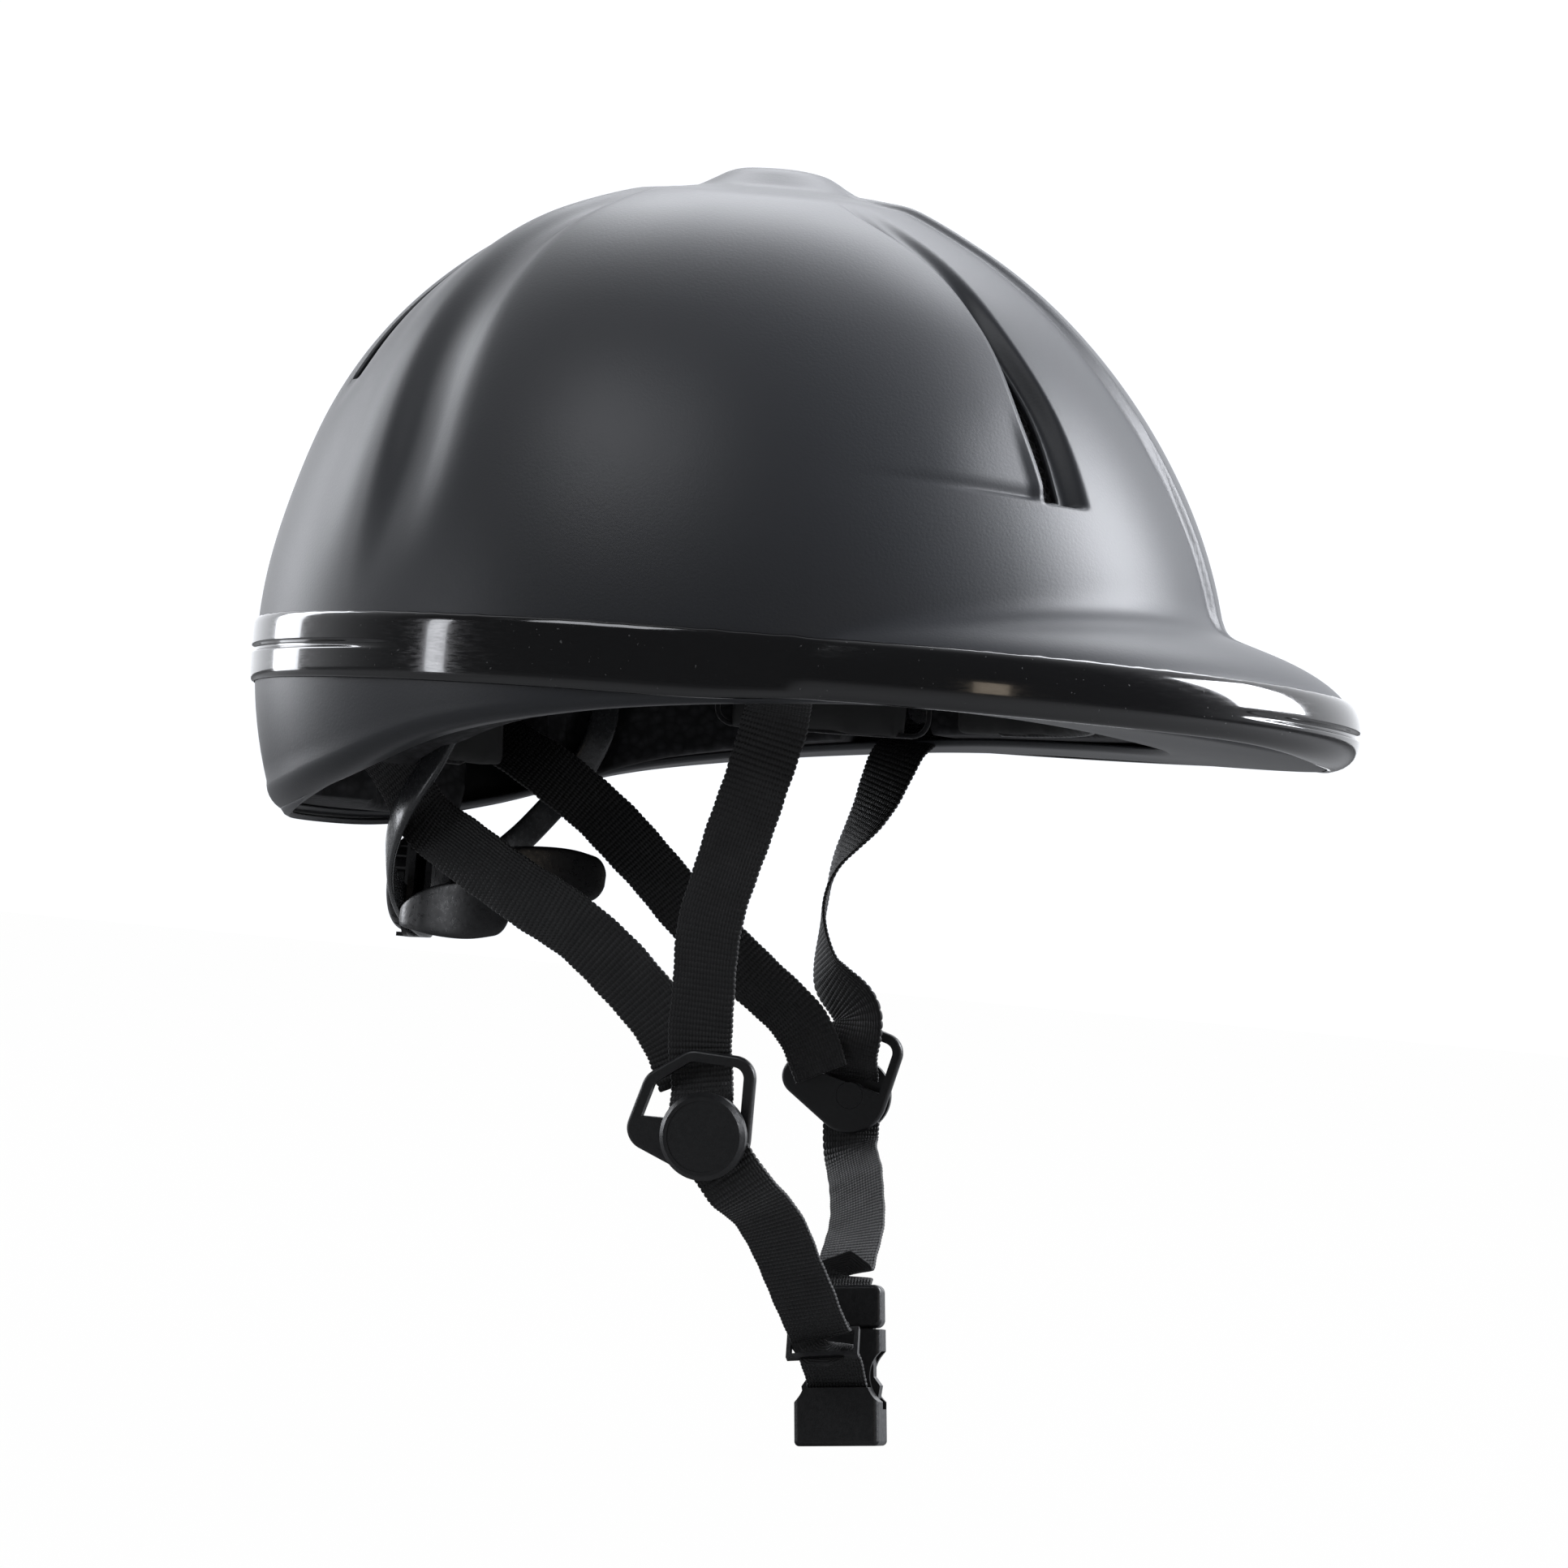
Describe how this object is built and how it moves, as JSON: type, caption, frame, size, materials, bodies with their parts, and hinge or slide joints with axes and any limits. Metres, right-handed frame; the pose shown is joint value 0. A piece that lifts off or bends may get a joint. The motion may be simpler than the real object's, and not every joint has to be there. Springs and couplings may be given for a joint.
{
  "type": "equestrian riding helmet",
  "caption": "Riding helmet with peak, vented outer shell, gloss seam band, foam liner, pads, dial-fit cradle and a four-point webbing harness with side-release buckle.",
  "frame": {"origin": "centre of the head opening, on the seam plane between upper and lower shell", "axes": "+X towards the peak, +Y towards the wearer's left, +Z towards the crown"},
  "size_m": [0.3169, 0.221, 0.3597],
  "materials": {
    "shell": "fine matte moulded shell",
    "trim": "glossy black band",
    "foam": "black expanded foam beads",
    "vent_net": "open knitted net",
    "webbing": "ribbed woven webbing",
    "padding": "brushed knit over foam",
    "hook_tape": "hook and loop tape",
    "rivet": "plated rivet",
    "hardware": "satin moulded acetal",
    "cradle_plastic": "satin flexible plastic",
    "gear_plastic": "moulded nylon",
    "screw_steel": "plain steel"
  },
  "bodies": {
    "helmet": {"upper_shell": "shell", "lower_shell": "shell", "trim_band": "trim", "foam_liner": "foam", "vent_mesh_front_left": "vent_net", "vent_mesh_front_right": "vent_net", "vent_mesh_rear_left": "vent_net", "vent_mesh_rear_right": "vent_net", "front_strap_left": "webbing", "front_strap_right": "webbing", "rear_strap_left": "webbing", "rear_strap_right": "webbing", "chin_strap_left": "webbing", "chin_strap_right": "webbing", "divider_plate_left": "hardware", "divider_plate_right": "hardware", "brow_pad": "padding", "side_pad_left": "padding", "side_pad_right": "padding", "rear_pad": "padding", "crown_pad": "padding", "hook_patches": "hook_tape", "anchor_rivets": "rivet", "buckle_female": "hardware", "dial_guard": "cradle_plastic", "click_spring": "gear_plastic", "yoke": "cradle_plastic", "rack_case": "cradle_plastic"},
    "dial": {"dial_knob": "cradle_plastic", "dial_pinion": "gear_plastic", "dial_screw": "screw_steel"},
    "wing_left": {"wing_left": "cradle_plastic"},
    "wing_right": {"wing_right": "cradle_plastic"},
    "buckle_plug": {"buckle_male": "hardware"},
    "prong_front": {"buckle_prong_front": "hardware"},
    "prong_rear": {"buckle_prong_rear": "hardware"},
    "cap_left": {"divider_cap_left": "hardware"},
    "cap_right": {"divider_cap_right": "hardware"},
    "keeper": {"strap_keeper": "hardware"}
  },
  "joints": [
    {"name": "dial_turn", "type": "hinge", "parent": "helmet", "child": "dial", "pos_m": [-0.087, 0, -0.062], "axis": [-1, 0, 0], "range_deg": [-73, 40]},
    {"name": "wing_left_slide", "type": "slide", "parent": "helmet", "child": "wing_left", "axis": [0, 1, 0], "range_m": [-0.009, 0.005]},
    {"name": "wing_right_slide", "type": "slide", "parent": "helmet", "child": "wing_right", "axis": [0, -1, 0], "range_m": [-0.009, 0.005]},
    {"name": "buckle_open", "type": "slide", "parent": "helmet", "child": "buckle_plug", "axis": [-0.1219, 0.121, 0.9851], "range_m": [0, 0.022], "deforming": ["chin_strap_left"]},
    {"name": "prong_front_flex", "type": "hinge", "parent": "buckle_plug", "child": "prong_front", "pos_m": [0.05512, 0.00281, -0.177], "axis": [0, 0.9925, -0.1219], "range_deg": [0, 14]},
    {"name": "prong_rear_flex", "type": "hinge", "parent": "buckle_plug", "child": "prong_rear", "pos_m": [0.03944, 0.00257, -0.17891], "axis": [0, -0.9925, 0.1219], "range_deg": [0, 14]},
    {"name": "cap_left_release", "type": "slide", "parent": "helmet", "child": "cap_left", "axis": [0, 1, 0], "range_m": [0, 0.003]},
    {"name": "cap_right_release", "type": "slide", "parent": "helmet", "child": "cap_right", "axis": [0, -1, 0], "range_m": [0, 0.003]},
    {"name": "keeper_slide", "type": "slide", "parent": "helmet", "child": "keeper", "axis": [-0.0805, -0.826, 0.5579], "range_m": [-0.005, 0.006]}
  ],
  "couplings": [
    {"joint": "wing_left_slide", "follows": "dial_turn", "m_per_rad": 0.007},
    {"joint": "wing_right_slide", "follows": "dial_turn", "m_per_rad": 0.007},
    {"joint": "prong_front_flex", "follows": "buckle_open", "rad_per_m": 11},
    {"joint": "prong_rear_flex", "follows": "buckle_open", "rad_per_m": 11}
  ]
}
